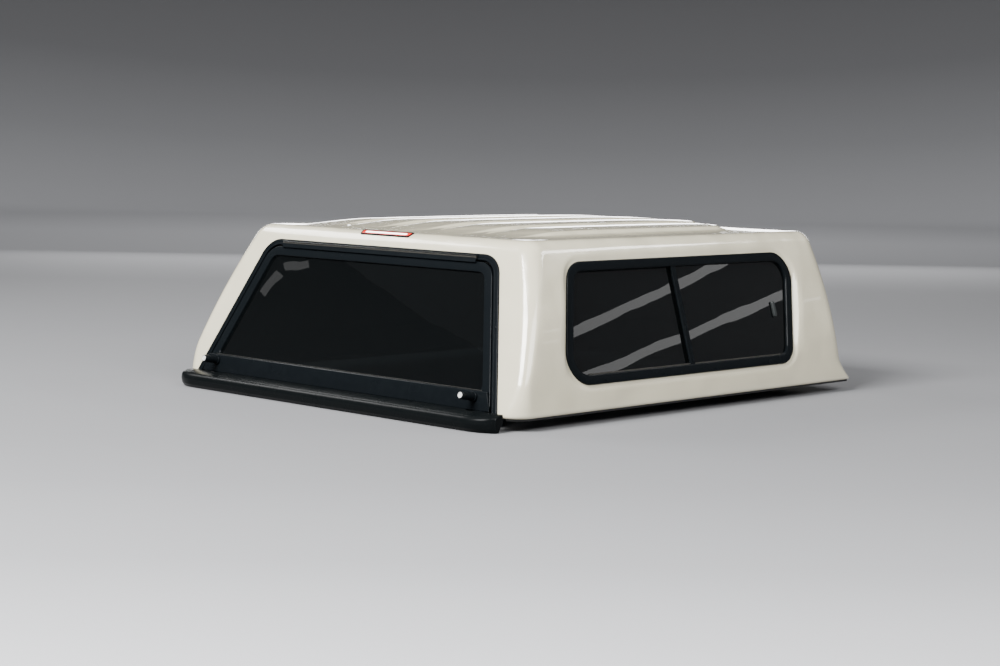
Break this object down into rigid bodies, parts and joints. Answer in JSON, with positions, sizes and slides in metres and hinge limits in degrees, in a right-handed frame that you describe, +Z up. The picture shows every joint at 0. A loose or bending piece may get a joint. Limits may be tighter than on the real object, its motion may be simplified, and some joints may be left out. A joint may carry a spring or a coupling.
{
  "type": "pickup truck canopy",
  "caption": "Hard moulded canopy for a pickup truck's tub, with a top-hinged glass rear door, sliding side windows and a high brake light.",
  "frame": {"origin": "under the middle of the canopy, level with the lowest point of the rear lip", "axes": "+X to the vehicle's right, +Y forward to the cab, +Z up; the rear door faces -Y"},
  "size_m": [1.5642, 1.7375, 0.5677],
  "materials": {
    "shell_paint": "glossy warm off-white gelcoat",
    "black_frame": "satin black powder coat",
    "black_lip": "satin black moulding with a fine grain",
    "tinted_glass": "dark privacy glass",
    "rubber": "matt black seal rubber",
    "aluminium": "dull anodised aluminium",
    "chrome": "bright plated key face",
    "brake_red": "lit red lens"
  },
  "bodies": {
    "canopy": {"shell": "shell_paint", "base_seal_left": "rubber", "base_seal_right": "rubber", "base_seal_front": "rubber", "door_surround": "black_frame", "door_seal": "rubber", "hinge_rail": "black_frame", "left_window_frame": "black_frame", "left_window_inner_ring": "black_frame", "left_window_front_pane": "tinted_glass", "left_window_rear_pane": "tinted_glass", "left_window_mullion": "black_frame", "left_window_sill_rail_front": "aluminium", "left_window_sill_rail_rear": "aluminium", "left_window_latch": "black_frame", "right_window_frame": "black_frame", "right_window_inner_ring": "black_frame", "right_window_front_pane": "tinted_glass", "right_window_rear_pane": "tinted_glass", "right_window_mullion": "black_frame", "right_window_sill_rail_front": "aluminium", "right_window_sill_rail_rear": "aluminium", "right_window_latch": "black_frame", "cab_window_frame": "black_frame", "cab_window_glass": "tinted_glass", "brake_light_housing": "black_frame", "brake_light_lens": "brake_red"},
    "rear_door": {"door_frame": "black_frame", "door_glass": "tinted_glass", "door_lower_panel": "black_frame", "glass_trim": "aluminium", "hinge_leaf": "aluminium", "rear_lip": "black_lip", "lock_collar_left": "black_frame", "lock_collar_right": "black_frame"},
    "lock_left": {"lock_barrel_left": "black_frame", "lock_key_face_left": "chrome", "lock_cam_left": "aluminium"},
    "lock_right": {"lock_barrel_right": "black_frame", "lock_key_face_right": "chrome", "lock_cam_right": "aluminium"}
  },
  "joints": [
    {"name": "rear_door_hinge", "type": "hinge", "parent": "canopy", "child": "rear_door", "pos_m": [0, -0.63048, 0.48447], "axis": [-1, 0, 0], "range_deg": [0, 78]},
    {"name": "lock_left_turn", "type": "hinge", "parent": "rear_door", "child": "lock_left", "pos_m": [-0.602, -0.78551, 0.09069], "axis": [0, -0.9848, 0.1736], "range_deg": [0, 90]},
    {"name": "lock_right_turn", "type": "hinge", "parent": "rear_door", "child": "lock_right", "pos_m": [0.602, -0.78551, 0.09069], "axis": [0, 0.9848, -0.1736], "range_deg": [0, 90]}
  ]
}
